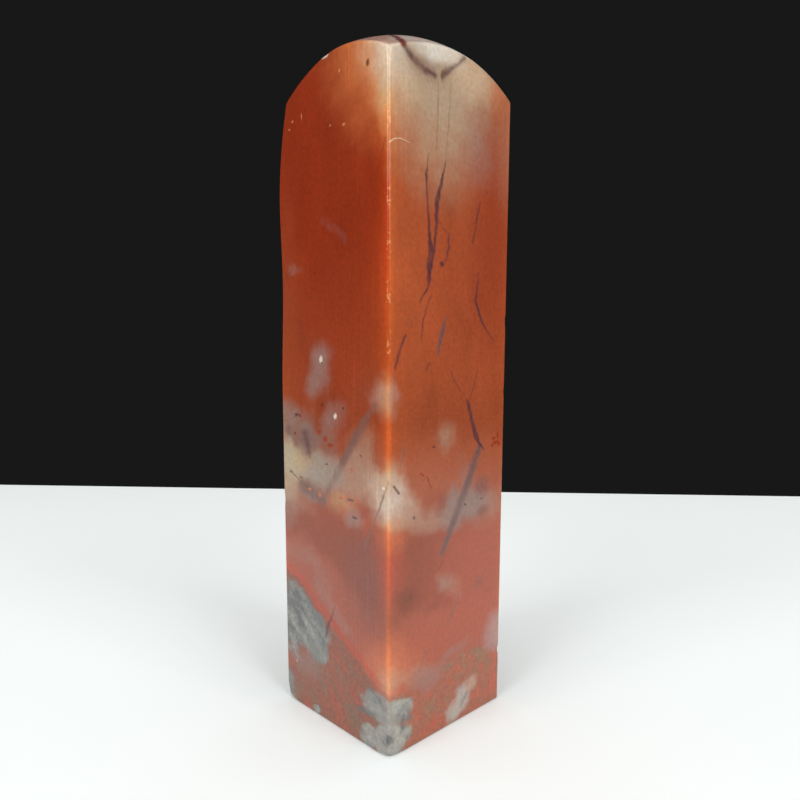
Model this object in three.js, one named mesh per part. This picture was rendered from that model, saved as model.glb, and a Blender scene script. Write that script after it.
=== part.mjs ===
import * as THREE from 'three';

// A seal stamp cut from one block of natural stone: a polished square prism with a domed crown.
// Millimetres, +Z up. The seal face lies on z = 0 and the prism stands centred on the Z axis.
// The front face looks towards -Y and the right face towards +X.

// Driving dimensions of the prism
const SIDE = 24; // width of each of the four side faces
const SHOULDER_HEIGHT = 90.1; // seal face to the near right corner of the crown
const EDGE_RADIUS = 0.35; // easing of the polished edges: upright, round the seal face and at the crown

// Driving dimensions of the crown
const FRONT_ARCH = 3.9; // rise of the crown's arc, seen from the front
const SIDE_ARCH = 3.1; // rise of the crown's arc, seen from the side
const BACK_LEAN = 0.14; // share by which the side arc is fuller towards the back than towards the front
const CROWN_SWELL = 1; // extra fullness in the middle of the crown
const LEFT_DROP = 1.7; // how much lower the crown meets the left face than the right face
const BACK_RISE = 0.4; // how much higher the back right corner is than the near right one

// Wear: the front left upright edge is rubbed rounder towards the top
const WORN_RADIUS = 4; // radius of that edge at the crown
const WORN_LENGTH = 25; // how far down from the crown the wear reaches
const WEAR_CURVE = 4; // how late the wear sets in on the way up: 1 is an even growth

// How finely curves are cut into flat facets
const CORNER_STEPS = 4; // facets round each upright edge
const FACE_STEPS = 12; // facets of the crown's arc along each side face
const EASE_STEPS = 2; // facets across the easing at the foot and at the rim
const WEAR_STEPS = 6; // levels down the worn edge
const CROWN_STEPS = 9; // rings from the rim to the middle of the crown

const HALF = SIDE / 2;
const QUARTER_TURN = Math.PI / 2;

// Height of the crown over a point of the plan, before its rim is eased
function crownHeight(x, y) {
  const frontArc = 1 - (x / HALF) ** 2;
  const sideArc = 1 - (y / HALF) ** 2;
  const backFullness = 1 + BACK_LEAN * (y / HALF);
  const leftShare = (1 - x / HALF) / 2;
  const backRightShare = (1 + x / HALF) * (1 + y / HALF) / 4;
  return SHOULDER_HEIGHT + FRONT_ARCH * frontArc + SIDE_ARCH * sideArc * backFullness
    + CROWN_SWELL * frontArc * sideArc - LEFT_DROP * leftShare + BACK_RISE * backRightShare;
}

// The plan of the prism, anticlockwise from the near right corner, with one corner worn rounder
function planOutline(wornRadius) {
  const corners = [
    { signs: [1, -1], radius: EDGE_RADIUS },
    { signs: [1, 1], radius: EDGE_RADIUS },
    { signs: [-1, 1], radius: EDGE_RADIUS },
    { signs: [-1, -1], radius: wornRadius },
  ];
  const arcs = corners.map(({ signs, radius }, index) => {
    const centre = new THREE.Vector2(...signs).multiplyScalar(HALF - radius);
    return Array.from({ length: CORNER_STEPS + 1 }, (_, step) => {
      const angle = (index - 1 + step / CORNER_STEPS) * QUARTER_TURN;
      return centre.clone().add(new THREE.Vector2(Math.cos(angle), Math.sin(angle)).multiplyScalar(radius));
    });
  });
  const outline = [];
  arcs.forEach((arc, index) => {
    outline.push(...arc);
    const from = arc[CORNER_STEPS];
    const to = arcs[(index + 1) % arcs.length][0];
    for (let step = 1; step < FACE_STEPS; step += 1) {
      outline.push(from.clone().lerp(to, step / FACE_STEPS));
    }
  });
  return outline;
}

// An outline drawn in towards the axis by an inset, with each point's height from a rule
function ring(outline, inset, heightAt) {
  const scale = 1 - inset / HALF;
  return outline.map(({ x, y }) => {
    const point = new THREE.Vector3(x * scale, y * scale, 0);
    point.z = heightAt(point.x, point.y);
    return point;
  });
}

// The rings of the stone, from the seal face up to the middle of the crown
function stoneRings() {
  const rings = [];
  const sharp = planOutline(EDGE_RADIUS);
  for (let step = 0; step <= EASE_STEPS; step += 1) {
    const angle = step / EASE_STEPS * QUARTER_TURN;
    const inset = EDGE_RADIUS * (1 - Math.sin(angle));
    const height = EDGE_RADIUS * (1 - Math.cos(angle));
    rings.push(ring(sharp, inset, () => height));
  }
  const wearStart = SHOULDER_HEIGHT - WORN_LENGTH;
  const wallTop = (x, y) => crownHeight(x, y) - EDGE_RADIUS;
  for (let step = 0; step <= WEAR_STEPS; step += 1) {
    const share = step / WEAR_STEPS;
    const wornRadius = THREE.MathUtils.lerp(EDGE_RADIUS, WORN_RADIUS, share ** WEAR_CURVE);
    const level = (x, y) => THREE.MathUtils.lerp(wearStart, wallTop(x, y), share);
    rings.push(ring(planOutline(wornRadius), 0, level));
  }
  const worn = planOutline(WORN_RADIUS);
  for (let step = 1; step <= EASE_STEPS; step += 1) {
    const angle = step / EASE_STEPS * QUARTER_TURN;
    const inset = EDGE_RADIUS * (1 - Math.cos(angle));
    const drop = EDGE_RADIUS * (1 - Math.sin(angle));
    rings.push(ring(worn, inset, (x, y) => crownHeight(x, y) - drop));
  }
  for (let step = 1; step < CROWN_STEPS; step += 1) {
    const inset = THREE.MathUtils.lerp(EDGE_RADIUS, HALF, step / CROWN_STEPS);
    rings.push(ring(worn, inset, crownHeight));
  }
  return rings;
}

// A closed skin over a stack of rings, closed at each end by a fan of facets to a point on the axis
function skinOver(rings, bottomHeight, topHeight) {
  const count = rings[0].length;
  const points = rings.flat();
  const bottom = points.push(new THREE.Vector3(0, 0, bottomHeight)) - 1;
  const top = points.push(new THREE.Vector3(0, 0, topHeight)) - 1;
  const lastRing = (rings.length - 1) * count;
  const triangles = [];
  for (let i = 0; i < count; i += 1) {
    const next = (i + 1) % count;
    triangles.push(bottom, next, i);
    for (let base = 0; base < lastRing; base += count) {
      triangles.push(base + i, base + next, base + count + next);
      triangles.push(base + i, base + count + next, base + count + i);
    }
    triangles.push(lastRing + i, lastRing + next, top);
  }
  const geometry = new THREE.BufferGeometry().setFromPoints(points);
  geometry.setIndex(triangles);
  geometry.computeVertexNormals();
  return geometry;
}

// The stone: deep orange red, polished
const stoneMaterial = new THREE.MeshStandardMaterial({ color: 0xa84a26, roughness: 0.3, metalness: 0 });

const sealStone = new THREE.Mesh(skinOver(stoneRings(), 0, crownHeight(0, 0)), stoneMaterial);
sealStone.name = 'seal_stone';

const sealStamp = new THREE.Group();
sealStamp.add(sealStone);

export default sealStamp;
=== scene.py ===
# %% [markdown]
# A seal stamp of natural stone
#
# The real object is one block of hard stone, sawn to a square prism, ground to a low dome at the
# top and polished. It has no joints and no fittings. All of its interest lies in three things:
# the hand-ground form with its softened edges, the minerals that run through the block, and the
# polish. The cells below make them in that order and then add a floor, lamps and a camera.

# %% The frame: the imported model, which every piece is built around
import math

import bpy
from mathutils import Matrix, Vector


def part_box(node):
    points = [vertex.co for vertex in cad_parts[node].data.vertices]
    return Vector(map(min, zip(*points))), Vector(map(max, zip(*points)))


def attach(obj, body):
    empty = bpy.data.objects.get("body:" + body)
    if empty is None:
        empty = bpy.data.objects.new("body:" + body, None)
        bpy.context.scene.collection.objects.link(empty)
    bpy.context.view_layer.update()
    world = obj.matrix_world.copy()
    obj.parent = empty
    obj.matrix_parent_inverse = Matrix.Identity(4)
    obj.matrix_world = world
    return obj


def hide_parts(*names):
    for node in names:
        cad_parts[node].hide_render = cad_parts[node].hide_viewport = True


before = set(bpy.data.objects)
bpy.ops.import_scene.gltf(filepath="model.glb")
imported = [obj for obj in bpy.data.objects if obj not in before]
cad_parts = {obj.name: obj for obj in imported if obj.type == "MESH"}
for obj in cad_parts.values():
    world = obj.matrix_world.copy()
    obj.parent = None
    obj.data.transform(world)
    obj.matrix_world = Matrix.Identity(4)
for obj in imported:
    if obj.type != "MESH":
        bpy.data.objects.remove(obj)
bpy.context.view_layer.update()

stone_low, stone_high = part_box("seal_stone")
MM = 0.001
SIDE = stone_high.x - stone_low.x
HALF = SIDE / 2
HEIGHT = stone_high.z
print(f"the stone is {SIDE / MM:.1f} mm square and {HEIGHT / MM:.1f} mm tall")

# %% [markdown]
# Node trees as arithmetic
#
# Both the form and the finish of this stone follow from formulas, and a formula is easier to read
# as an expression than as a list of nodes and links. So one small class wraps a socket: adding,
# multiplying or comparing it with a number or another socket makes the Math node that does that.
# Every other kind of node comes from one method, which sets the node's options first, because
# those decide which sockets it has, and then its inputs.

# %% A wire between nodes
class Wire:
    """A node's output that can stand in an expression."""

    def __init__(self, graph, socket):
        self.graph = graph
        self.socket = socket

    def math(self, operation, first, second=0.0):
        return self.graph.add("ShaderNodeMath", {"operation": operation}, {0: first, 1: second})

    def __add__(self, other):
        return self.math("ADD", self, other)

    def __radd__(self, other):
        return self.math("ADD", other, self)

    def __sub__(self, other):
        return self.math("SUBTRACT", self, other)

    def __rsub__(self, other):
        return self.math("SUBTRACT", other, self)

    def __mul__(self, other):
        return self.math("MULTIPLY", self, other)

    def __rmul__(self, other):
        return self.math("MULTIPLY", other, self)

    def __truediv__(self, other):
        return self.math("DIVIDE", self, other)

    def __rtruediv__(self, other):
        return self.math("DIVIDE", other, self)

    def __pow__(self, other):
        return self.math("POWER", self, other)

    def __abs__(self):
        return self.math("ABSOLUTE", self)

    def sine(self):
        return self.math("SINE", self)

    def at_least(self, other):
        return self.math("MAXIMUM", self, other)

    def at_most(self, other):
        return self.math("MINIMUM", self, other)


# %% The graph that makes the nodes
class Graph:
    """A node tree that is filled by calls and expressions."""

    def __init__(self, tree):
        self.tree = tree

    def add(self, kind, settings=None, inputs=None, output=0):
        """Adds one node: its settings first, then the values or wires of its sockets."""
        node = self.tree.nodes.new(kind)
        for name, value in (settings or {}).items():
            if name == "points":
                self.draw_curve(node, value)
            else:
                setattr(node, name, value)
        for key, value in (inputs or {}).items():
            socket = self.find(node.inputs, key)
            if isinstance(value, Wire):
                self.tree.links.new(value.socket, socket)
            else:
                socket.default_value = value
        if isinstance(output, tuple):
            return [Wire(self, self.find(node.outputs, key)) for key in output]
        return Wire(self, self.find(node.outputs, output)) if len(node.outputs) else None

    @staticmethod
    def find(sockets, key):
        """A socket by its place, its identifier or its name."""
        if isinstance(key, int):
            return sockets[key]
        for socket in sockets:
            if socket.identifier == key:
                return socket
        return sockets[key]

    @staticmethod
    def draw_curve(node, points):
        """Gives a Float Curve node a line of straight pieces, with no limit on its range."""
        node.mapping.use_clip = False
        node.mapping.extend = "HORIZONTAL"
        curve = node.mapping.curves[0]
        curve.points[0].location = points[0]
        curve.points[1].location = points[-1]
        for place, height in points[1:-1]:
            curve.points.new(place, height)
        for point in curve.points:
            point.handle_type = "VECTOR"
        node.mapping.update()

    def curve(self, value, points):
        """What a line through the given points says at a value."""
        return self.add("ShaderNodeFloatCurve", {"points": points}, {"Value": value})

    def join(self, x, y, z):
        """A vector from three numbers."""
        return self.add("ShaderNodeCombineXYZ", {}, {"X": x, "Y": y, "Z": z})

    def vector(self, operation, *values, output="Vector"):
        """Vector Math on points, directions and colours."""
        inputs = dict(enumerate(values))
        return self.add("ShaderNodeVectorMath", {"operation": operation}, inputs, output)

    def part(self, vector, direction):
        """How far a vector or a colour goes in one direction."""
        return self.vector("DOT_PRODUCT", vector, direction, output="Value")

    def stretch(self, vector, factor):
        """A vector made longer or shorter."""
        return self.add("ShaderNodeVectorMath", {"operation": "SCALE"}, {0: vector, "Scale": factor})

    def smooth(self, value, start, end):
        """0 where value is at start, 1 where it is at end, with an eased change between."""
        settings = {"interpolation_type": "SMOOTHSTEP", "clamp": True}
        inputs = {"Value": value, "From Min": start, "From Max": end}
        return self.add("ShaderNodeMapRange", settings, inputs)

    def blend(self, under, over, share):
        """One colour laid over another, by a share from 0 to 1."""
        inputs = {"Factor_Float": share, "A_Color": under, "B_Color": over}
        return self.add("ShaderNodeMix", {"data_type": "RGBA"}, inputs, "Result_Color")

    def noise(self, place, size, detail=2.0, output=0):
        """Natural unevenness whose lumps are about a given size across."""
        inputs = {"Vector": place, "Scale": 1.0 / size, "Detail": detail}
        return self.add("ShaderNodeTexNoise", {}, inputs, output)


# %% [markdown]
# The form of the stone
#
# A mason would start from a sawn block, so this tree does too: a grid of points on a block, which
# a chain of rules then moves. First the points are drawn towards the edges, where the curves are
# tight. Then each edge is rounded: a point is pulled to the nearest point of a smaller block and
# pushed out again by the edge's radii, which may differ from place to place, so one rule makes
# the crisp polished edges, the rubbed one and the knocks. Last, the flat top is lifted to the
# crown's two crossing arcs. Subdividing and bevelling a cube could round the edges too, but not
# by a radius that changes along an edge, and Geometry Nodes keep every size as a named input.

# %% The sizes of the form, in metres
form_inputs = {
    "Side": SIDE,
    "Shoulder height": 90.1 * MM,  # seal face to the near right corner of the crown
    "Front arch": 3.9 * MM,        # rise of the crown's arc, seen from the front
    "Side arch": 3.1 * MM,         # rise of the crown's arc, seen from the side
    "Back lean": 0.14,             # share by which that arc is fuller towards the back
    "Crown swell": 1.0 * MM,       # extra fullness in the middle of the crown
    "Left drop": 1.7 * MM,         # how much lower the crown meets the left face
    "Back rise": 0.4 * MM,         # how much higher the back right corner is than the near one
    "Edge radius": 0.35 * MM,      # easing of the polished edges
    "Worn radius": 4.0 * MM,       # radius of the rubbed front left edge at the crown
    "Worn length": 25.0 * MM,      # how far down that wear reaches
    "Wear curve": 4.0,             # how late it sets in on the way up
}
CELLS_ACROSS = 72
CELLS_UP = 220

# knocks on the edges, in millimetres: place, added radius and reach
KNOCKS = [
    ((12, -12, 0), 0.7, 3.2),
    ((-12, -12, 0), 0.8, 3.0),
    ((12, -12, 90), 0.25, 2.0),
    ((12, 12, 59.4), 0.35, 0.9),
    ((12, 12, 49.0), 0.2, 0.9),
    ((12, 12, 8.3), 0.45, 0.9),
    ((-12, -12, 33.0), 0.2, 1.4),
    ((-12, -12, 66.0), 0.9, 16.0),
    ((-12, 12, 71.0), 0.4, 1.6),
    ((-12, 12, 0), 0.6, 2.5),
    ((-0.3, -12, 90), 0.3, 1.0),
]


# %% The rules that turn a block into the stone
def form_tree(material):
    """Builds the Geometry Nodes tree of the stone's form."""
    tree = bpy.data.node_groups.new("stone form", "GeometryNodeTree")
    for name in form_inputs:
        tree.interface.new_socket(name=name, in_out="INPUT", socket_type="NodeSocketFloat")
    tree.interface.new_socket(name="Stone", in_out="OUTPUT", socket_type="NodeSocketGeometry")
    g = Graph(tree)
    sizes = g.add("NodeGroupInput", output=tuple(form_inputs))
    side, shoulder, front_arch, side_arch, back_lean, swell, left_drop, back_rise = sizes[:8]
    edge, worn, worn_length, wear_curve = sizes[8:]
    half = side * 0.5

    block = g.add("GeometryNodeMeshCube", inputs={
        "Size": (2.0, 2.0, 2.0),
        "Vertices X": CELLS_ACROSS + 1,
        "Vertices Y": CELLS_ACROSS + 1,
        "Vertices Z": CELLS_UP + 1,
    })
    place = g.add("GeometryNodeInputPosition")
    grid = g.add("ShaderNodeSeparateXYZ", inputs={0: place}, output=("X", "Y", "Z"))
    x, y, z = [(axis * (math.pi / 2)).sine() for axis in grid]
    x = x * half
    y = y * half
    z = (z + 1.0) * 0.5 * shoulder
    outer = g.join(x, y, z)

    # the rounding: shallow, deeper at each knock, and spread wider up the front left edge
    up = (z - (shoulder - worn_length)) / worn_length
    rubbed = g.smooth(x, 0.0, -HALF) * g.smooth(y, 0.0, -HALF) * up.at_least(0.0) ** wear_curve
    depth = edge
    for knock, added, reach in KNOCKS:
        offset = g.vector("SUBTRACT", outer, Vector(knock) * MM)
        distance = g.vector("LENGTH", offset, output="Value")
        depth = depth + g.smooth(distance, reach * MM, 0.0) * (added * MM)
    radius = depth + (worn - edge) * rubbed
    radii = g.join(radius, radius, depth)

    # the nearest point of a block that is smaller by these radii, and the way out from it
    limit = half - radius
    inner = g.join(
        x.at_most(limit).at_least(limit * -1.0),
        y.at_most(limit).at_least(limit * -1.0),
        z.at_most(shoulder - depth).at_least(depth),
    )
    out = g.vector("NORMALIZE", g.vector("DIVIDE", g.vector("SUBTRACT", outer, inner), radii))
    rounded = g.vector("ADD", inner, g.vector("MULTIPLY", out, radii))

    # the crown: two arcs that cross, fuller in the middle, lower on the left, highest back right
    x, y, z = g.add("ShaderNodeSeparateXYZ", inputs={0: rounded}, output=("X", "Y", "Z"))
    front_arc = 1.0 - (x / half) ** 2.0
    side_arc = 1.0 - (y / half) ** 2.0
    rise = front_arch * front_arc + side_arch * side_arc * (1.0 + back_lean * (y / half))
    rise = rise + swell * front_arc * side_arc - left_drop * ((1.0 - x / half) * 0.5)
    rise = rise + back_rise * ((1.0 + x / half) * (1.0 + y / half) * 0.25)
    raised = g.join(x, y, z * (1.0 + rise / shoulder))

    moved = g.add("GeometryNodeSetPosition", inputs={"Geometry": block, "Position": raised})
    smooth = g.add("GeometryNodeSetShadeSmooth", inputs={"Geometry": moved})
    plain = g.add("GeometryNodeRealizeInstances", inputs={"Geometry": smooth})
    finished = g.add("GeometryNodeSetMaterial", inputs={"Geometry": plain, "Material": material})
    g.add("NodeGroupOutput", inputs={0: finished})
    return tree


stone_material = bpy.data.materials.new("polished red stone")
stone_material.use_nodes = True


# %% The stone's mesh, made by the tree and then kept as plain faces
def build_piece(name, tree, values):
    """Runs a form tree and returns its result as an ordinary mesh object at the origin."""
    carrier = bpy.data.objects.new(name + "_form", bpy.data.meshes.new(name + "_form"))
    bpy.context.scene.collection.objects.link(carrier)
    modifier = carrier.modifiers.new("Form", "NODES")
    modifier.node_group = tree
    for socket in tree.interface.items_tree:
        if socket.in_out == "INPUT":
            modifier[socket.identifier] = values[socket.name]
    depsgraph = bpy.context.evaluated_depsgraph_get()
    mesh = bpy.data.meshes.new_from_object(carrier.evaluated_get(depsgraph))
    bpy.data.objects.remove(carrier)
    mesh.name = name
    piece = bpy.data.objects.new(name, mesh)
    bpy.context.scene.collection.objects.link(piece)
    return piece


stone = build_piece("stone", form_tree(stone_material), form_inputs)
print(f"{stone.name}: {len(stone.data.polygons)} faces")

# %% [markdown]
# The minerals
#
# Nothing on this stone is printed: clear red stone, milky quartz, grey-violet sheets and a coarse
# grey and brown matrix fill the whole block, and sawing has cut through them. So the finish reads
# the place of a point in the block and not a picture wrapped round it. A patch that meets an edge
# then goes on round it. The finish starts with the place in millimetres, a bent copy of it that
# keeps outlines from looking drawn with compasses, and the distances from the side faces.

# %% Places in the block
g = Graph(stone_material.node_tree)
shader = stone_material.node_tree.nodes["Principled BSDF"]
here = g.stretch(g.add("ShaderNodeTexCoord", output="Object"), 1 / MM)
X, Y, Z = g.add("ShaderNodeSeparateXYZ", inputs={0: here}, output=("X", "Y", "Z"))
HALF_MM = HALF / MM
SKIN = 2.5                 # how deep under a face its own veins are whole, in millimetres
SKIN_END = 4.0             # and where they have faded out


def bent(place, size, reach):
    """A place moved by up to about reach, in a way that changes over a distance of size."""
    shift = g.vector("SUBTRACT", g.noise(here, size, output=1), (0.5, 0.5, 0.5))
    return g.vector("ADD", place, g.stretch(shift, 2 * reach))


def front(x, z, deep=0.0):
    """A place in the front face, or behind it."""
    return (x, -HALF_MM + deep, z)


def right(y, z, deep=0.0):
    """A place in the right face, or behind it."""
    return (HALF_MM - deep, y, z)


wavy = bent(bent(here, 4.5, 1.2), 1.3, 0.5)
crumbly = bent(here, 0.8, 0.3)
tatter = g.noise(here, 2.2, 4.0) - 0.5
front_skin = g.smooth(Y, -HALF_MM + SKIN_END, -HALF_MM + SKIN)   # 1 near the front face
right_skin = g.smooth(X, HALF_MM - SKIN_END, HALF_MM - SKIN)     # 1 near the right face
left_skin = g.smooth(X, -HALF_MM + SKIN_END, -HALF_MM + SKIN)
back_skin = g.smooth(Y, HALF_MM - SKIN_END, HALF_MM - SKIN)


# %% Colours as they look, turned into the light they return
def tone(red, green, blue):
    """A colour given as 0 to 255 steps of a screen, as shares of the light that it returns."""
    def returned(step):
        share = step / 255
        return share / 12.92 if share <= 0.04045 else ((share + 0.055) / 1.055) ** 2.4
    return (returned(red), returned(green), returned(blue), 1.0)


DEEP_RED = tone(138, 46, 20)        # clear deep red stone, and the painted shade high on the front face
FOX = tone(150, 69, 40)             # clear stone lower in the front face
ORANGE_RED = tone(162, 77, 44)      # clear stone of the right face
EMBER = tone(150, 71, 41)           # clear stone lower in the right face
RUSSET = tone(146, 61, 34)          # the same, deeper
RUST = tone(164, 88, 60)            # the same, paler
BRICK = tone(138, 65, 42)           # duller stone above the matrix
PINK = tone(156, 80, 60)            # the hazy band over the matrix
SALMON = tone(167, 80, 54)          # a warmer part of that band
DUSK = tone(124, 72, 62)            # a darker part of it
CORAL = tone(192, 108, 74)          # bright stone low on the near edge
SEAM = tone(170, 66, 42)            # the thin red seam along the matrix
MATRIX = tone(138, 80, 62)          # coarse brown part of the matrix
OLIVE = tone(124, 90, 70)           # greener part of the matrix
BRASS = tone(154, 76, 54)           # redder part of the matrix
GREY = tone(119, 119, 116)          # grey part of the matrix
SLATE = tone(94, 94, 95)            # dark streaks in the grey
ASH = tone(140, 139, 133)           # light streaks in the grey
CHALK = tone(170, 163, 153)         # whitish spots in the matrix
AMBER = tone(196, 110, 62)          # clear orange stone round the cream
CREAM = tone(210, 180, 148)         # milky stone with a warm tint
BONE = tone(176, 150, 124)          # greyer milky stone
WHITE = tone(218, 208, 194)         # the clearest milky stone, also the tone of painted highlights on the crown and a chip
PEARL = tone(186, 157, 138)         # milky stone in the lower patches
HONEY = tone(178, 163, 140)         # grey-yellow milky stone
STRAW = tone(184, 158, 118)         # a yellower spot in it
ROSE = tone(164, 126, 106)          # pinkish milky stone
MILKY = tone(146, 112, 104)         # a thin milky cloud over red
MIST = tone(164, 130, 126)          # a lilac-white patch
LILAC = tone(138, 112, 104)         # grey-violet cloud
HAZE = tone(150, 104, 94)           # a thin pinkish haze
PEWTER = tone(148, 136, 126)        # grey milky stone
MAUVE = tone(116, 85, 80)           # grey-violet sheets
BLUSH = tone(166, 128, 118)         # pink and grey stone of the crown
PLUM = tone(82, 48, 54)             # dark violet veins
WINE = tone(98, 30, 36)             # the wine-red vein over the crown
OCHRE = tone(128, 98, 70)           # thin brown lines in the cream
UMBER = tone(88, 46, 30)            # dark brown specks
ORANGE = tone(188, 82, 38)          # bright orange spots
NICK = tone(208, 138, 98)           # pale scratches and pits
GLINT = tone(236, 176, 122)         # painted highlights, with some wear, on crystals along the near edge

# %% [markdown]
# Clear stone
#
# The clear stone is orange-red, duller lower down and always a little uneven. High up on the front
# face it is drawn a deeper, darker red, which is painted shade. Nothing in it has an outline, so
# wide soft changes by place do that, and two broad noises take their evenness away.

# %% The clear red stone
height = g.part(wavy, (0, 0, 1))
# painted shade: high up, the front face alone is drawn a darker red than the other faces
front_red_in_shade = g.blend(FOX, DEEP_RED, g.smooth(height, 42.0, 72.0))
side_red = g.blend(EMBER, ORANGE_RED, g.smooth(height, 44.0, 58.0))
shaded_front_face = g.smooth(Y, -HALF_MM + 0.3, -HALF_MM + 0.05)
colour = g.blend(side_red, front_red_in_shade, shaded_front_face)
uneven = g.noise(g.vector("MULTIPLY", here, (1.0, 1.0, 0.45)), 5.0, 3.0)
colour = g.blend(colour, g.stretch(colour, 0.86), g.smooth(uneven, 0.48, 0.72))
colour = g.blend(colour, g.stretch(colour, 1.1), g.smooth(uneven, 0.5, 0.3))
colour = g.blend(colour, BRICK, g.smooth(height, 37.0, 27.5))


# %% Clouds and streaks: the shapes of the minerals
def cloud(centre, radii, soft=0.4, place=wavy, rough=tatter):
    """1 in the middle of an egg-shaped cloud and 0 outside it, with a soft uneven skin."""
    offset = g.vector("DIVIDE", g.vector("SUBTRACT", place, centre), radii)
    return g.smooth(g.vector("LENGTH", offset, output="Value") + rough, 1 + soft, 1 - soft)


def streak(start, end, radius, soft=0.4, place=wavy, rough=tatter):
    """1 along a line between two places and 0 away from it."""
    run = Vector(end) - Vector(start)
    offset = g.vector("SUBTRACT", place, start)
    along = g.part(offset, run / run.length_squared)
    nearest = g.stretch(run, along.at_least(0.0).at_most(1.0))
    distance = g.vector("DISTANCE", offset, nearest, output="Value")
    return g.smooth(distance / radius + rough, 1 + soft, 1 - soft)


def lay(shade, mask, share=1.0):
    """Lays a mineral over what is there already."""
    global colour
    colour = g.blend(colour, shade, mask * share if share < 1.0 else mask)


# %% Wide, soft changes of the clear stone: tone, centre, radii, softness, share
for shade, centre, radii, soft, share in (
    (RUSSET, right(9.5, 72), (4, 5, 17), 0.8, 0.9),
    (RUSSET, right(3.5, 64), (4, 6, 10), 0.9, 0.3),
    (FOX, front(-10.5, 62), (3.5, 4, 12), 0.9, 0.5),
    (DEEP_RED, front(4.0, 55.0), (6.0, 4.0, 9.0), 0.8, 0.4),
    (BRICK, front(8.6, 49.6), (3.0, 1.5, 2.6), 0.8, 0.4),
    (RUST, right(0.0, 38.6), (3.0, 14.0, 4.2), 0.7, 0.8),
):
    lay(shade, cloud(centre, radii, soft), share)

# %% [markdown]
# Strata
#
# Low in the block the stone is layered. A coarse matrix fills the foot, and over it come a red
# seam and a hazy pink band. Their borders slope, so each border is a height that depends on the
# place across the block. A Float Curve holds it for each direction as a few points, which read
# like the profile that a geologist would draw.

# %% The layers over the matrix
matrix_top = g.curve(X, [
    (-12, 21.2), (-7.8, 20.2), (-3.7, 17.1), (-0.7, 15.6), (4.2, 12.6), (8.8, 10.0), (12, 8.9),
])
matrix_top = matrix_top + g.curve(Y, [
    (-12, 0), (-7.4, -0.8), (-2.8, -1.4), (-1.2, 1.0), (2.6, 1.9), (6.8, 1.4), (12, 0.6),
])
band_top = g.curve(X, [
    (-12, 27.4), (-9, 26.8), (-6.2, 27.6), (-1.2, 25.0), (3.4, 22.4), (8.8, 19.8), (12, 18.8),
])
above = Z - matrix_top + tatter * 1.6
lay(PINK, g.smooth(Z - band_top + tatter * 4.0, 1.6, -1.4), 0.9)
for shade, start, end, radius, share in (
    (HAZE, front(-12, 25.2), front(-4.5, 24.2), 1.3, 0.35),
    (HAZE, front(-5.4, 25.0), front(-0.6, 21.0), 1.0, 0.35),
    (HAZE, front(-3.4, 21.2), front(3.2, 15.8), 1.2, 0.5),
    (PEWTER, right(-1.4, 22.6), right(0.8, 21.6), 1.1, 0.8),
    (PEWTER, right(0.8, 21.6), right(2.0, 20.0), 0.8, 0.6),
):
    lay(shade, streak(start, end, radius, 0.9), share)
for shade, centre, radii, soft, share in (
    (SALMON, right(6.5, 24), (4, 9.6, 9), 0.7, 0.8),
    (SALMON, right(0, 14), (4, 14, 4.5), 0.6, 0.8),
    (DUSK, front(9.0, 24.0), (5.4, 1.5, 6.5), 0.8, 0.75),
    (CORAL, (12, -12, 12.2), (4.8, 4.6, 3.2), 0.8, 0.65),
    (SEAM, (12, -12, 27.5), (2.2, 2.4, 6.0), 0.8, 0.6),
    (ROSE, right(-7.5, 9.9), (3, 5, 1.6), 0.6, 0.35),
):
    lay(shade, cloud(centre, radii, soft), share)
lay(SEAM, g.smooth(above, 1.9, 0.9) * front_skin, 0.6)

# %% The matrix: coarse brown grains with a slant to them
slanted = g.join((X + Z) * 0.75, Y, (X - Z) * 0.3)
gritty = g.noise(here, 0.42, 3.0)
patchy = g.noise(bent(slanted, 2.0, 0.5), 1.9, 3.0)
grains = g.blend(MATRIX, OLIVE, g.smooth(patchy, 0.5, 0.68))
grains = g.blend(grains, BRASS, g.smooth(patchy, 0.47, 0.32))
grains = g.blend(grains, g.stretch(grains, 1.16), g.smooth(gritty, 0.5, 0.7))
grains = g.blend(grains, g.stretch(grains, 0.84), g.smooth(gritty, 0.5, 0.3))
matrix = g.smooth(above, 0.5, -0.5)
lay(grains, matrix)
lay(LILAC, cloud(front(-6.6, 7.3), (3.0, 2.0, 1.5), 0.9) * matrix, 0.55)

# %% The grey parts of the matrix
grey_parts = [
    (front(-8.2, 13.9, 1), (6.8, 9.0, 5.6)),
    (front(-4.2, 12.0, 0), (2.9, 4.0, 3.3)),
    (front(-12, 2.2), (2.0, 3.0, 2.4)),
    ((11.2, -11.2, 6.9), (5.1, 4.1, 2.1)),
    ((12, -12, 2.0), (2.8, 3.9, 3.2)),
    (front(8.2, 1.8), (1.7, 1.5, 1.6)),
    (front(-4.4, 0.8), (0.9, 1.2, 0.6)),
    ((-12, 5, 7), (3.0, 4.5, 2.6)),
    ((-3, 12, 5), (4.5, 2.5, 2.2)),
    ((6, 12, 5), (2.6, 2.0, 1.6)),
]
grey = None
for centre, radii in grey_parts:
    part = cloud(centre, radii, 0.22)
    grey = part if grey is None else grey.at_least(part)
grey = grey * g.smooth(above, -0.5, -1.1)
grey = (grey - cloud(front(-7.6, 9.2), (1.6, 2.0, 1.2), 0.9)).at_least(0.0)
drift = g.noise(slanted, 1.7, 4.0)
greys = g.blend(GREY, SLATE, g.smooth(drift, 0.5, 0.66))
greys = g.blend(greys, ASH, g.smooth(drift, 0.49, 0.36))
greys = g.blend(greys, g.stretch(greys, 1.18), g.smooth(gritty, 0.5, 0.66))
greys = g.blend(greys, g.stretch(greys, 0.8), g.smooth(gritty, 0.5, 0.36))
lay(greys, grey)
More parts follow.
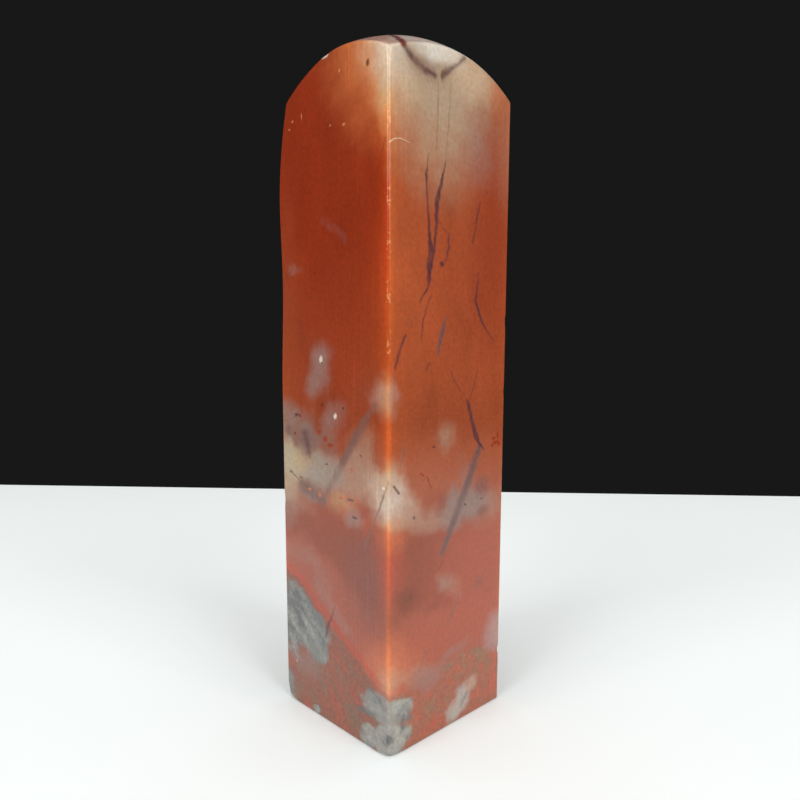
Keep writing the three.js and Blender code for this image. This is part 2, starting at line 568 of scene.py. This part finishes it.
for start, end, radius, share in (
    (front(6.0, 5.0), (12.0, -12.0, 5.6), 0.45, 0.85),
    (right(-11.8, 5.5), right(-8.0, 4.6), 0.45, 0.85),
    (right(-10.8, 5.6), right(-9.0, 6.8), 0.4, 0.5),
    (front(-10.4, 16.6), front(-7.6, 13.4), 0.4, 0.8),
    (front(-6.0, 18.4), front(-3.2, 15.6), 0.9, 0.35),
):
    lay(SLATE, streak(start, end, radius, 0.7, crumbly) * matrix, share)
lay(CHALK, cloud((12.0, -12.0, 3.4), (6.4, 4.6, 5.0), 0.5) * grey * g.smooth(drift, 0.7, 0.5), 0.45)
lay(ASH, cloud(front(-4.4, 10.2), (2.2, 2.0, 1.8), 0.8) * grey, 0.5)
# painted light: on the right face the matrix is drawn lighter, its grey parts less so
lit_right_face = g.smooth(X, HALF_MM - 0.5, HALF_MM - 0.1)
brighter = g.blend((1.35, 1.25, 1.08, 1.0), (1.14, 1.14, 1.12, 1.0), grey)
colour = g.blend(colour, g.vector("MULTIPLY", colour, brighter), lit_right_face * matrix)
lay(CHALK, streak(right(1.6, 1.8), right(3.3, 3.9), 1.6, 0.5), 0.85)
lay(PEARL, cloud(right(5.3, 5.0), (1.4, 1.35, 1.15), 0.5), 0.65)
lay(SLATE, streak(right(2.9, 2.3), right(4.3, 3.9), 0.3, 0.8, crumbly), 0.5)

# %% [markdown]
# Milky stone and clouds
#
# Where quartz grew in the red stone it shows as milky patches with no sharp outline. Each is an
# egg-shaped cloud in the block, given by its middle and its three radii, and laid over what is
# there. The bent place and a ragged skin take the egg out of it. The list runs from the crown
# down, and each entry can be moved or resized by itself, as a painter would rework one patch.

# %% The cream cap over the near corner and the right face: tone, centre, radii, softness, share
faint = tatter * 0.35
for shade, centre, radii, soft, share in (
    (AMBER, (12, -12, 93.5), (9.5, 4.0, 10.0), 0.7, 1.0),
    (BONE, right(-3.6, 94.0), (2.2, 9.9, 15.4), 0.55, 1.0),
    (CREAM, (12.5, -12.5, 93.0), (4.4, 4.6, 6.4), 0.8, 0.9),
    (CREAM, right(-9.4, 86.2), (1.2, 2.2, 3.6), 0.8, 0.35),
    (WHITE, (12.5, -12.5, 92.5), (3.0, 3.6, 4.6), 0.8, 0.7),
    (SALMON, right(-9.5, 81.0), (2.0, 3.4, 3.0), 0.8, 0.25),
    (LILAC, right(-6.5, 90.6), (2.0, 4.0, 2.4), 0.8, 0.45),
    (WHITE, right(-3.4, 92.9), (2.5, 4.6, 2.1), 0.5, 0.95),
    (CREAM, right(3.8, 91.4), (2.5, 4.6, 2.6), 0.8, 0.6),
    (AMBER, right(9.6, 90.4), (2.0, 2.6, 2.6), 0.8, 0.4),
    (MILKY, right(4.6, 82.0), (2.0, 3.0, 4.0), 0.8, 0.4),
    (ROSE, right(12.0, 85.0), (2.0, 3.4, 7.0), 0.8, 0.35),
):
    lay(shade, cloud(centre, radii, soft, rough=faint), share)

# %% The top of the crown: pink and grey, paler to the right, with painted highlights
inside = HALF_MM - abs(X).at_least(abs(Y))
crown_skin = g.smooth(inside, 0.15, 0.45) * g.smooth(Z, 85.0, 87.0)
lay(BLUSH, cloud((5.0, -5.0, 95.0), (12.0, 12.0, 9.0), 0.3) * crown_skin, 0.95)
# paler to the right: partly the stone's own tone, partly a painted highlight
lay(WHITE, cloud((10.5, -1.0, 94.0), (4.0, 8.0, 5.0), 0.5) * crown_skin, 0.6)
# painted highlight: a thin white line along the crown's rim over the right face
rim_highlight = g.smooth(abs(inside - 0.3), 0.3, 0.1) * g.smooth(X, HALF_MM - 1.2, HALF_MM - 0.8)
lay(WHITE, rim_highlight * g.smooth(Z, 86.0, 88.0) * g.smooth(Y, -7.0, -3.0), 0.6)

# %% Milky clouds in the red: tone, centre, radii, softness, share
clouds = [
    (MILKY, front(-8.2, 66.9), (1.3, 1.5, 0.6), 0.9, 0.35),
    (MILKY, front(-1.8, 53.9), (1.8, 2.0, 1.8), 0.8, 0.85),
    (MILKY, front(-2.4, 51.4), (2.1, 2.0, 2.2), 0.7, 0.7),
    (MILKY, front(-3.8, 49.9), (1.6, 2.0, 1.6), 0.7, 0.6),
    (MILKY, front(0.9, 45.9), (2.1, 2.0, 1.8), 0.7, 0.55),
    (MILKY, front(-0.8, 44.6), (1.8, 2.0, 1.7), 0.8, 0.5),
    (ROSE, right(-1.2, 42.9), (2.0, 1.6, 2.0), 0.7, 0.65),
    (MIST, (11.6, -12.0, 48.5), (2.4, 1.3, 2.4), 0.7, 0.6),
]

# %% The pale zone across both faces, and the patches below it
clouds += [
    (LILAC, front(-11.8, 44.6), (6.0, 3.0, 2.8), 0.5, 0.85),
    (LILAC, front(-5.4, 42.1), (3.2, 3.0, 2.4), 0.5, 0.85),
    (HONEY, front(-12.0, 39.2), (5.4, 3.0, 2.9), 0.5, 0.95),
    (HONEY, front(-8.6, 37.6), (4.2, 3.0, 2.2), 0.6, 0.8),
    (STRAW, front(-7.8, 38.8), (1.8, 2.0, 1.2), 0.7, 0.6),
    (HONEY, front(-10.4, 34.6), (3.0, 3.0, 1.8), 0.6, 0.6),
    (ROSE, front(-8.2, 32.6), (3.4, 2.0, 1.6), 0.8, 0.4),
    (BONE, front(-4.0, 38.6), (4.0, 3.0, 2.2), 0.5, 0.85),
    (ROSE, front(5.0, 37.6), (6.0, 3.0, 3.2), 0.5, 0.85),
    (ROSE, front(7.0, 40.8), (3.0, 3.0, 3.0), 0.7, 0.6),
    (PEWTER, front(-1.4, 37.8), (3.8, 3.0, 3.0), 0.5, 0.75),
    (LILAC, front(-0.4, 42.0), (2.4, 3.0, 1.4), 0.7, 0.4),
    (PEWTER, front(-4.8, 36.4), (3.4, 2.0, 1.1), 0.8, 0.5),
    (LILAC, front(-5.2, 40.4), (1.8, 2.0, 1.1), 0.8, 0.45),
    (LILAC, front(-4.9, 34.4), (2.6, 2.0, 1.6), 0.6, 0.85),
    (LILAC, front(-11.4, 31.0), (2.2, 2.0, 2.6), 0.7, 0.45),
    (PLUM, front(-5.7, 42.2), (2.0, 2.0, 1.5), 0.9, 0.3),
    (AMBER, front(2.6, 33.8), (2.6, 2.0, 1.8), 0.8, 0.3),
    (STRAW, front(1.4, 34.2), (2.2, 2.0, 1.3), 0.8, 0.35),
    (PEARL, (12.0, -12.0, 36.2), (3.5, 3.2, 3.6), 0.55, 0.9),
    (BRICK, front(9.2, 31.2), (2.0, 1.2, 1.7), 0.8, 0.5),
    (WHITE, (12.2, -11.4, 34.9), (1.8, 2.0, 2.0), 0.8, 0.35),
    (PEARL, right(-9.0, 33.6), (2.0, 2.6, 2.2), 0.6, 0.6),
    (AMBER, right(-11.0, 30.8), (2.0, 2.6, 1.8), 0.8, 0.35),
    (ROSE, right(-3.4, 32.0), (2.0, 5.0, 1.5), 0.7, 0.65),
    (ROSE, right(8.6, 32.0), (2.0, 3.6, 2.2), 0.7, 0.4),
    (LILAC, right(0.9, 32.8), (2.0, 2.9, 2.6), 0.6, 0.9),
    (MILKY, right(3.0, 37.2), (1.5, 1.5, 2.2), 0.8, 0.4),
    (LILAC, right(4.8, 33.3), (2.0, 4.0, 2.4), 0.6, 0.9),
    (ORANGE, (12, -12, 43.2), (2.0, 1.2, 2.6), 0.6, 0.3),
    (ORANGE, front(8.0, 32.0), (1.6, 2.0, 1.2), 0.7, 0.3),
    (MILKY, front(5.2, 32.3), (1.9, 1.5, 1.2), 0.6, 0.7),
    # the darker spots in it, and the patches lower down
    (BRICK, right(-2.0, 33.9), (1.0, 1.0, 1.3), 0.9, 0.75),
    (DUSK, right(7.3, 35.5), (1.0, 1.5, 1.3), 0.8, 0.8),
    (DUSK, right(7.1, 31.6), (1.0, 1.1, 0.8), 0.8, 0.8),
    (UMBER, right(-8.8, 21.8), (1.5, 1.8, 1.4), 0.9, 0.4),
    (DUSK, right(6.8, 21.0), (1.0, 1.1, 0.8), 0.9, 0.5),
    (MIST, right(11.4, 11.8), (2.0, 2.8, 2.6), 0.6, 0.85),
    (HAZE, right(-4.4, 9.1), (1.5, 2.8, 1.5), 0.5, 0.8),
    (PEARL, (12.0, -12.0, 10.4), (1.8, 1.8, 1.8), 0.9, 0.35),
]
for shade, centre, radii, soft, share in clouds:
    lay(shade, cloud(centre, radii, soft), share)
for shade, start, end, radius, share in (
    (MILKY, front(-1.0, 72.6), front(4.0, 69.4), 0.5, 0.13),
    (RUSSET, front(10.3, 44.8), front(10.2, 40.2), 1.2, 0.65),
    (PLUM, front(-6.2, 43.4), front(-4.8, 40.3), 0.6, 0.55),
    (PLUM, front(-10.2, 43.2), front(-8.2, 41.3), 0.6, 0.35),
    (MAUVE, front(-7.0, 35.2), front(-2.2, 33.8), 0.9, 0.85),
    (HAZE, right(-1.8, 10.1), right(0.2, 11.6), 0.9, 0.5),
    (HAZE, right(0.2, 11.6), right(3.6, 11.9), 0.7, 0.45),
):
    lay(shade, streak(start, end, radius, 0.8), share)
print(f"{len(clouds)} milky clouds")

# %% [markdown]
# Veins
#
# Thin dark sheets cross the block, and where a polished face cuts one it shows as a line. A line
# could be painted as an image, but a curve is kinder: one Float Curve gives the line's place
# across the face at each height and another its half width, as a pen does with its course and
# its pressure. Beyond the ends the half width is less than nothing, so the line stops there.


# %% The pen that draws veins
def vein(along, across, course, soft):
    """1 on a line over a face. Its course lists how far along, how far across and half width."""
    low, high = course[0], course[-1]
    ended = [(low[0] - 0.4, low[1], -soft), *course, (high[0] + 0.4, high[1], -soft)]
    middle = g.curve(along, [(step, place) for step, place, _ in ended])
    breadth = g.curve(along, [(step, width) for step, _, width in ended])
    return g.smooth(abs(across - middle) - breadth, soft, -soft)


jitter = g.noise(here, 0.9, 3.0) * 0.6 - 0.3
shaky_x = X + jitter
shaky_y = Y + jitter
shaky_z = Z + jitter
fading = 0.72 + g.smooth(g.noise(here, 2.0, 3.0), 0.36, 0.6) * 0.28


def draw(shade, skin, share, lines, along=Z, across=shaky_y, soft=0.2):
    """Draws veins of one mineral on one face."""
    for course in lines:
        lay(shade, vein(along, across, course, soft) * skin * fading, share)


# %% Veins of the right face: height, place across and half width of each point, rising
draw(MAUVE, right_skin, 0.85, [
    [(26.5, -1.9, 0.4), (28.3, -0.8, 0.7), (32.4, 1.5, 0.8), (36, 3.6, 0.9),
     (39.5, 5.3, 0.9), (41.6, 6.3, 0.5)],
    [(54.4, -3.0, 0.2), (56.5, -2.4, 0.4), (57.5, -2.2, 0.45), (59.4, -1.4, 0.1)],
], soft=0.3)
draw(PLUM, right_skin, 0.35, [
    [(26.6, -1.8, 0.3), (28.3, -0.8, 0.45), (32.4, 1.5, 0.4), (36, 3.6, 0.45),
     (39.5, 5.3, 0.45), (41.2, 6.2, 0.3)],
    [(54.2, -3.1, 0.1), (56.5, -2.4, 0.3), (57.5, -2.2, 0.35), (59.4, -1.4, 0.1)],
], soft=0.3)
draw(OCHRE, right_skin, 0.55, [
    [(79.8, -5.0, 0.06), (80.4, -3.6, 0.08), (84, -3.45, 0.14), (89, -3.4, 0.1)],
    [(76.4, -2.7, 0.2), (79.3, -1.8, 0.16), (83.5, -1.4, 0.1), (89.8, -1.0, 0.06)],
    [(76, 5.6, 0.02), (80, 5.9, 0.02), (88, 5.9, 0.0)],
])
draw(PLUM, right_skin, 0.92, [
    [(60.9, -6.6, 0.08), (63.2, -4.9, 0.2), (65.7, -4.75, 0.55), (67.8, -4.5, 0.5), (70, -4.85, 0.22),
     (73.5, -5.2, 0.2), (76.8, -5.5, 0.18), (79.6, -5.1, 0.02)],
    [(65.8, -4.3, 0.2), (67.8, -3.9, 0.22), (71, -3.5, 0.24), (72, -3.45, 0.4), (74, -3.5, 0.45),
     (76.4, -2.7, 0.26), (79.3, -1.8, 0.06)],
    [(66.7, -1.6, 0.08), (68.6, -1.1, 0.14), (70.3, -1.0, 0.1), (70.8, -2.2, 0.06), (71.7, -3.0, 0.1)],
    [(56.1, -6.2, 0.08), (58.2, -6.0, 0.12), (60.3, -5.3, 0.1), (62.1, -4.3, 0.08)],
    [(52.5, -11.0, 0.14), (55.7, -9.7, 0.2), (56.7, -9.0, 0.16)],
    [(69.8, 3.8, 0.1), (71.9, 4.5, 0.16), (74, 4.9, 0.12), (76, 5.6, 0.04)],
    [(56.7, 9.2, 0.1), (58.2, 7.2, 0.14), (59.4, 6.1, 0.24), (62.1, 4.7, 0.28),
     (63.2, 4.9, 0.18), (66.1, 5.3, 0.06)],
    [(52.3, -5.3, 0.1), (53.2, -4.7, 0.1)],
    [(48.7, 2.7, 0.06), (50.7, 0.5, 0.08), (52.1, -0.3, 0.04)],
    [(48, 3.8, 0.04), (49.9, 4.7, 0.05), (52.5, 5.4, 0.02)],
    [(40.8, 7.2, 0.1), (41.9, 6.0, 0.45), (42.6, 5.5, 0.5), (45.3, 4.3, 0.4),
     (47.8, 3.4, 0.3), (48.3, 3.1, 0.12)],
    [(24.6, -2.4, 0.06), (25.6, -1.4, 0.12)],
])
draw(MAUVE, right_skin, 0.8, [
    [(57.8, -8.7, 0.03), (59.6, -6.8, 0.05)],
    [(15.8, -0.5, 0.1), (17.6, 0.8, 0.18), (19.6, 1.9, 0.16)],
    [(10.6, -6.2, 0.08), (13.3, -5.1, 0.15)],
    [(39.9, -9.9, 0.12), (42.2, -9.2, 0.12)],
])

# %% The vein that dips like a bowl under the rim, and its way over the crown
bowl = [[
    (-9.6, 91.0, 0.3), (-7.8, 89.8, 0.55), (-5.8, 89.3, 0.45), (-3.9, 89.2, 0.3), (-3.3, 89.5, -0.5),
    (-2.7, 89.6, 0.55), (-1.4, 90.6, 0.45), (-0.3, 91.4, 0.15), (1.1, 92.6, 0.22), (1.8, 93.1, 0.1),
]]
draw(MAUVE, right_skin, 0.6, bowl, along=Y, across=shaky_z, soft=1.1)
draw(PLUM, right_skin, 0.75, bowl, along=Y, across=shaky_z, soft=0.4)
lay(WINE, streak((12.2, -9.6, 91.2), (3.0, -5.0, 96.6), 0.5, 0.6, crumbly), 0.9)
lay(WINE, streak((4.0, -12.2, 93.6), (3.0, -5.0, 96.6), 0.3, 0.6, crumbly), 0.5)

# %% Veins of the front face
draw(MAUVE, front_skin, 0.7, [
    [(39.0, 2.1, 0.4), (42.1, 4.6, 0.9), (45.2, 7.0, 0.9), (48, 9.5, 0.3)],
], across=shaky_x, soft=0.6)
draw(MAUVE, front_skin, 0.45, [
    [(34.3, -1.5, 0.5), (38.7, 2.0, 0.9), (41.0, 3.8, 0.8)],
    [(39.0, 1.7, 0.05), (41.6, 3.8, 0.25), (44.9, 6.4, 0.25), (47, 8.0, 0.05)],
], across=shaky_x, soft=0.4)
draw(MAUVE, front_skin, 0.9, [
    [(28.3, 7.1, 0.12), (29.2, 7.5, 0.2), (32.1, 9.1, 0.18), (36, 11.0, 0.16), (38.2, 11.9, 0.04)],
], across=shaky_x)
draw(PLUM, front_skin, 0.75, [
    [(13.3, -1.6, 0.15), (14.8, -1.3, 0.38), (16.2, -0.5, 0.25), (17.5, 0.2, 0.12), (18.6, 0.6, 0.04)],
], across=shaky_x)
draw(UMBER, front_skin, 0.6, [
    [(65.2, -11, 0.06), (66.6, -9, 0.12)],
    [(75.6, 9.7, 0.02), (77.7, 10.5, 0.14), (79.9, 11.4, 0.12)],
], across=shaky_x)

# %% Veins of the two faces that the photograph doesn't show
draw(PLUM, left_skin, 0.7, [
    [(52, 6.5, 0.08), (58, 4.6, 0.2), (64, 5.2, 0.35), (71, 3.6, 0.2), (78, 3.9, 0.06)],
    [(46, -6.5, 0.1), (49, -5.2, 0.25), (53, -4.4, 0.08)],
])
draw(PLUM, back_skin, 0.7, [
    [(38, 6.0, 0.1), (44, 4.2, 0.3), (49, 4.8, 0.22), (57, 2.4, 0.1), (63, 2.9, 0.05)],
    [(66, -4.2, 0.06), (71, -5.0, 0.25), (77, -4.1, 0.3), (83, -5.6, 0.08)],
], across=shaky_x)

# %% [markdown]
# Specks, flecks and nicks
#
# The last marks are small: dark specks, orange flecks, a few bright crystals, a painted highlight on
# a chip at the rim, and pits and scratches that the polish left. They are the same egg-shaped clouds,
# only tiny and with a crisper skin, so the list is long but each line is plain. They stop the eye from
# seeing soft shapes only.

# %% Specks: tone, centre, radii
specks = [
    (UMBER, front(8.2, 89.4), (0.26, 0.6, 0.42)),
    (NICK, front(-7.9, 87.0), (0.24, 0.3, 0.12)),
    (NICK, front(-5.7, 87.0), (0.08, 0.3, 0.4)),
    (NICK, front(-8.7, 86.1), (0.22, 0.3, 0.1)),
    (NICK, front(2.7, 90.3), (0.08, 0.3, 0.25)),
    (NICK, front(0.7, 84.2), (0.18, 0.3, 0.1)),
    (NICK, front(3.5, 83.6), (0.25, 0.3, 0.2)),
    # part chip, part painted highlight: the white speck on the chip at the rim
    (WHITE, front(-0.3, 93.0), (0.7, 0.8, 0.25)),
    (WHITE, front(-2.0, 53.8), (0.36, 0.8, 0.5)),
    (UMBER, front(-1.85, 53.35), (0.16, 0.3, 0.16)),
    (WHITE, front(1.1, 46.0), (0.28, 0.6, 0.38)),
    (UMBER, front(-1.8, 47.5), (0.3, 0.3, 0.2)),
    (UMBER, front(2.9, 47.2), (0.26, 0.3, 0.2)),
    (PLUM, front(-8.2, 45.8), (0.5, 0.3, 0.3)),
    (PLUM, front(-7.4, 45.7), (0.25, 0.3, 0.2)),
    (PLUM, front(-8.6, 42.9), (0.25, 0.3, 0.25)),
    (RUSSET, front(-2.7, 43.5), (0.4, 0.3, 0.35)),
    (RUSSET, front(-1.2, 42.6), (0.5, 0.3, 0.4)),
    (RUSSET, front(0.0, 41.9), (0.7, 0.5, 0.3)),
    (ORANGE, front(2.2, 34.7), (0.4, 0.4, 0.2)),
    (ORANGE, front(4.7, 38.9), (0.16, 0.3, 0.35)),
    (ORANGE, front(5.9, 34.8), (0.25, 0.3, 0.2)),
    (UMBER, front(-9.9, 37.0), (0.45, 0.3, 0.14)),
    (AMBER, front(-9.0, 36.6), (0.4, 0.4, 0.16)),
    (AMBER, front(-5.3, 34.9), (0.5, 0.4, 0.2)),
    (UMBER, front(-6.1, 35.2), (0.4, 0.3, 0.14)),
    (AMBER, front(-2.7, 34.4), (0.3, 0.3, 0.3)),
    (WHITE, front(11.0, 37.2), (0.3, 0.3, 0.2)),
    (UMBER, front(6.5, 41.0), (0.3, 0.3, 0.12)),
    (UMBER, front(-0.9, 39.0), (0.35, 0.3, 0.12)),
    (UMBER, front(-7.4, 36.4), (0.3, 0.3, 0.14)),
    (PLUM, front(4.3, 34.7), (0.7, 0.3, 0.16)),
    (PLUM, front(5.2, 32.3), (0.5, 0.3, 0.2)),
    (NICK, front(-9.3, 6.8), (0.25, 0.3, 0.25)),
    (PLUM, right(-2.4, 66.3), (0.3, 0.38, 0.35)),
    (DEEP_RED, right(10.1, 41.6), (0.3, 0.7, 0.25)),
    (DEEP_RED, right(10.5, 42.6), (0.3, 0.25, 0.6)),
    (DEEP_RED, right(9.6, 42.3), (0.3, 0.4, 0.25)),
    (DEEP_RED, right(10.8, 41.4), (0.3, 0.35, 0.35)),
    (DEEP_RED, right(9.2, 41.2), (0.3, 0.3, 0.2)),
    (PLUM, right(3.2, 33.0), (0.3, 0.4, 0.16)),
    (PLUM, right(6.8, 33.4), (0.3, 0.4, 0.12)),
    (PLUM, right(-7.4, 32.8), (0.3, 0.28, 0.25)),
    (PLUM, right(-3.7, 42.0), (0.3, 0.3, 0.1)),
]
for shade, centre, radii in specks:
    lay(shade, cloud(centre, radii, 0.5, crumbly, 0.0), 0.85)
for shade, start, end, radius in (
    (PLUM, right(-11.1, 37.4), right(-10.2, 36.4), 0.19),
    (DEEP_RED, right(-4.9, 38.0), right(-4.1, 36.4), 0.13),
    (DEEP_RED, right(-6.2, 38.6), right(-5.6, 38.2), 0.12),
    (OCHRE, front(-10.2, 37.3), front(-7.6, 35.9), 0.12),
    (OCHRE, front(-7.6, 35.9), front(-5.4, 34.7), 0.15),
    (CREAM, right(-11.9, 79.3), right(-11.1, 79.9), 0.09),
    (CREAM, right(-11.1, 79.9), right(-10.1, 80.2), 0.07),
    (CREAM, right(-10.1, 80.2), right(-9.2, 80.15), 0.06),
    (CREAM, right(-9.2, 80.15), right(-8.5, 80.05), 0.04),
):
    lay(shade, streak(start, end, radius, 0.5, here, 0.0), 0.8)
print(f"{len(specks)} specks")

# %% [markdown]
# Light in the edges and the polish
#
# The stone lets some light through, so its edges glow: light that enters one face comes out of the
# next one. The shader's subsurface part does that for lamps, and a brighter, warmer tone along the
# edges does it under any light. It is strongest on the near edge, where the stone is clearest, and
# milky stone shows little of it. The polish is good but made by hand: fine lines run up the faces,
# the coarse matrix takes less of a shine, and the seal face is only ground.

# %% The glow of the edges and the glints on the near edge, painted into the colour
from_right = HALF_MM - X                                   # nought on the right face
from_front = HALF_MM + Y                                   # nought on the front face
glow_reach = g.curve(Z, [(10, 0.42), (30, 0.42), (42, 0.95), (52, 1.4), (92, 1.4)])
glow_strength = g.curve(Z, [(38, 0.8), (50, 1.0)])
near_glow = glow_strength / (1.0 + (from_right / glow_reach) ** 2.0)
near_glow = near_glow / (1.0 + from_front / 0.4)
from_upright = (HALF_MM - abs(X)) + (HALF_MM - abs(Y))     # nought on the four upright edges
glow = near_glow.at_least(0.35 / (1.0 + from_upright / 0.5))
clear = g.smooth(g.part(colour, (0, 1, 0)), 0.4, 0.1)
lit = g.vector("MULTIPLY", colour, (1.85, 1.85, 0.98))
colour = g.blend(colour, lit, glow * (1.0 - matrix) * (0.08 + clear * 0.92))
# part wear, part painted highlight: bright glints along the near edge, from about 50 mm up
edge_wear_and_glints = g.smooth(from_right + from_front, 0.55, 0.2) * g.smooth(g.noise(here, 0.4, 2.0), 0.5, 0.62)
edge_wear_and_glints = edge_wear_and_glints * g.smooth(Z, 46.0, 56.0) * g.smooth(g.noise(here, 3.0, 1.0), 0.45, 0.6)
lay(GLINT, edge_wear_and_glints, 0.45)

# %% The polish
POLISHED = 0.2         # roughness of the clear stone
GROUND = 0.3           # how much rougher the seal face is
polish_lines = g.noise(g.vector("MULTIPLY", here, (1.0, 1.0, 0.02)), 0.28, 2.0)
lines = g.smooth(polish_lines, 0.54, 0.7) * (front_skin * g.smooth(X, -4.0, 5.0) * 0.75 + 0.25)
lines = lines * (1.0 - matrix)
colour = g.blend(colour, g.stretch(colour, 1.14), lines)
mottle = g.noise(here, 0.55, 4.0)
colour = g.blend(colour, g.stretch(colour, 1.1), g.smooth(mottle, 0.5, 0.7))
colour = g.blend(colour, g.stretch(colour, 0.9), g.smooth(mottle, 0.5, 0.3))
ground = g.smooth(Z, 0.25, 0.05)
roughness = POLISHED + lines * 0.06 + matrix * 0.1 + ground * GROUND
relief = lines * 0.5 + gritty * matrix + ground * gritty
bump = g.add("ShaderNodeBump", inputs={"Strength": 0.4, "Distance": 0.01 * MM, "Height": relief})
for name, wire in (("Base Color", colour), ("Roughness", roughness), ("Normal", bump)):
    g.tree.links.new(wire.socket, shader.inputs[name])
shader.inputs["Subsurface Weight"].default_value = 0.2
shader.inputs["Subsurface Radius"].default_value = (1.0, 0.35, 0.15)
shader.inputs["Subsurface Scale"].default_value = 1.0 * MM
print(f"the finish has {len(g.tree.nodes)} nodes")

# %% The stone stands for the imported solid
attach(stone, "root")
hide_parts("seal_stone")

# %% [markdown]
# The stage
#
# The stone was photographed on a pale cloth that ends a little way behind it, with the dark of the
# room beyond. A flat floor with an edge at the same place gives both, and takes the stone's soft
# shadow. It is turned a little against the camera, as the cloth was.


# %% The floor
def plain_material(name, shade):
    """A matt material of one shade, for the stage."""
    material = bpy.data.materials.new(name)
    material.use_nodes = True
    inputs = material.node_tree.nodes["Principled BSDF"].inputs
    inputs["Base Color"].default_value = shade
    inputs["Roughness"].default_value = 0.9
    return material


CAMERA_AZIMUTH = math.radians(46.08)
FLOOR_TURN = CAMERA_AZIMUTH - math.radians(3.9)
FLOOR_AWAY = 0.183                  # from the stone to the far edge of the floor
FLOOR_ACROSS = 0.24                 # from the stone to each side of it
FLOOR_SHADE = (0.92, 0.96, 0.95, 1.0)

across = Vector((math.cos(FLOOR_TURN), math.sin(FLOOR_TURN), 0.0)) * FLOOR_ACROSS
away = Vector((-math.sin(FLOOR_TURN), math.cos(FLOOR_TURN), 0.0)) * FLOOR_AWAY
floor_mesh = bpy.data.meshes.new("floor")
corners = [across * u + away * v for u, v in ((-1, -1), (1, -1), (1, 1), (-1, 1))]
floor_mesh.from_pydata(corners, [], [(0, 1, 2, 3)])
floor_mesh.materials.append(plain_material("pale floor", FLOOR_SHADE))
floor = bpy.data.objects.new("floor", floor_mesh)
bpy.context.scene.collection.objects.link(floor)
print(f"the floor is {2 * FLOOR_ACROSS:.2f} m by {2 * FLOOR_AWAY:.2f} m")

# %% [markdown]
# Lamps
#
# Polished stone is a weak mirror, so a lamp must light it without showing in it. Each face mirrors
# what lies on the far side of it from the camera, and the lamps stay out of those places: one
# large soft square high over the stone, and one at each side, just in front of the face that it
# lights. Together with the world they come to a plain level, at which a tone looks as written.


# %% Three soft lamps
def soft_lamp(name, azimuth, elevation, distance, size, power):
    """A square soft lamp that looks at the middle of the stone."""
    light = bpy.data.lights.new(name, "AREA")
    light.shape = "SQUARE"
    light.size = size
    light.energy = power
    lamp = bpy.data.objects.new(name, light)
    a = math.radians(azimuth)
    e = math.radians(elevation)
    back = Vector((math.sin(a) * math.cos(e), -math.cos(a) * math.cos(e), math.sin(e)))
    middle = Vector((0.0, 0.0, HEIGHT / 2))
    lamp.location = middle + back * distance
    lamp.rotation_mode = "QUATERNION"
    lamp.rotation_quaternion = back.to_track_quat("Z", "Y")
    bpy.context.scene.collection.objects.link(lamp)
    return lamp


soft_lamp("overhead", azimuth=46, elevation=80, distance=0.8, size=0.6, power=1.5)
soft_lamp("right", azimuth=88, elevation=30, distance=0.8, size=0.4, power=2.6)
soft_lamp("left", azimuth=2, elevation=30, distance=0.8, size=0.4, power=2.6)

# %% [markdown]
# The world
#
# Soft light comes from all round, so the faces that the camera doesn't see are lit as well. The
# camera and the polish see the dark of the room instead. Light Path tells the two apart.

# %% The world
SOFT_LIGHT = (0.5, 0.5, 0.5, 1.0)
DARK_ROOM = (0.009, 0.009, 0.009, 1.0)

world = bpy.data.worlds.new("studio")
world.use_nodes = True
bpy.context.scene.world = world
sky = Graph(world.node_tree)
rays = sky.add("ShaderNodeLightPath", output=("Is Camera Ray", "Is Glossy Ray", "Is Transmission Ray"))
seen = rays[0].at_least(rays[1]).at_least(rays[2])
background = world.node_tree.nodes["Background"]
sky_shade = sky.blend(SOFT_LIGHT, DARK_ROOM, seen)
world.node_tree.links.new(sky_shade.socket, background.inputs["Color"])
bpy.context.scene.view_settings.view_transform = "Standard"

# %% [markdown]
# The camera
#
# The stone's straight edges and its equal sides fix where the camera stood: they meet in vanishing
# points, and their widths in the picture give the distance. The picture is the lower part of a
# taller view, so the optical centre lies below its middle and the camera is shifted.

# %% The camera, as the photograph was taken
PICTURE_SIZE = 800                # pixels, both ways
FOCAL_PIXELS = 627.6              # focal length, in pixels of that picture
CENTRE_DROP = 54.4                # pixels from the picture's middle down to the optical centre
CAMERA_PLACE = (69.92 * MM, -65.79 * MM, 51.60 * MM)
CAMERA_PITCH = math.radians(7.16)
CAMERA_ROLL = math.radians(0.129)

camera_data = bpy.data.cameras.new("camera")
camera_data.sensor_width = 36.0
camera_data.lens = FOCAL_PIXELS / PICTURE_SIZE * camera_data.sensor_width
camera_data.shift_y = CENTRE_DROP / PICTURE_SIZE
camera_data.clip_start = 0.005
camera = bpy.data.objects.new("camera", camera_data)
back = Vector((
    math.sin(CAMERA_AZIMUTH) * math.cos(CAMERA_PITCH),
    -math.cos(CAMERA_AZIMUTH) * math.cos(CAMERA_PITCH),
    math.sin(CAMERA_PITCH),
))
rightward = Vector((0, 0, 1)).cross(back).normalized()
upward = back.cross(rightward)
turn = Matrix((rightward, upward, back)).transposed() @ Matrix.Rotation(CAMERA_ROLL, 3, "Z")
camera.rotation_mode = "QUATERNION"
camera.rotation_quaternion = turn.to_quaternion()
camera.location = CAMERA_PLACE
bpy.context.scene.collection.objects.link(camera)
bpy.context.scene.camera = camera
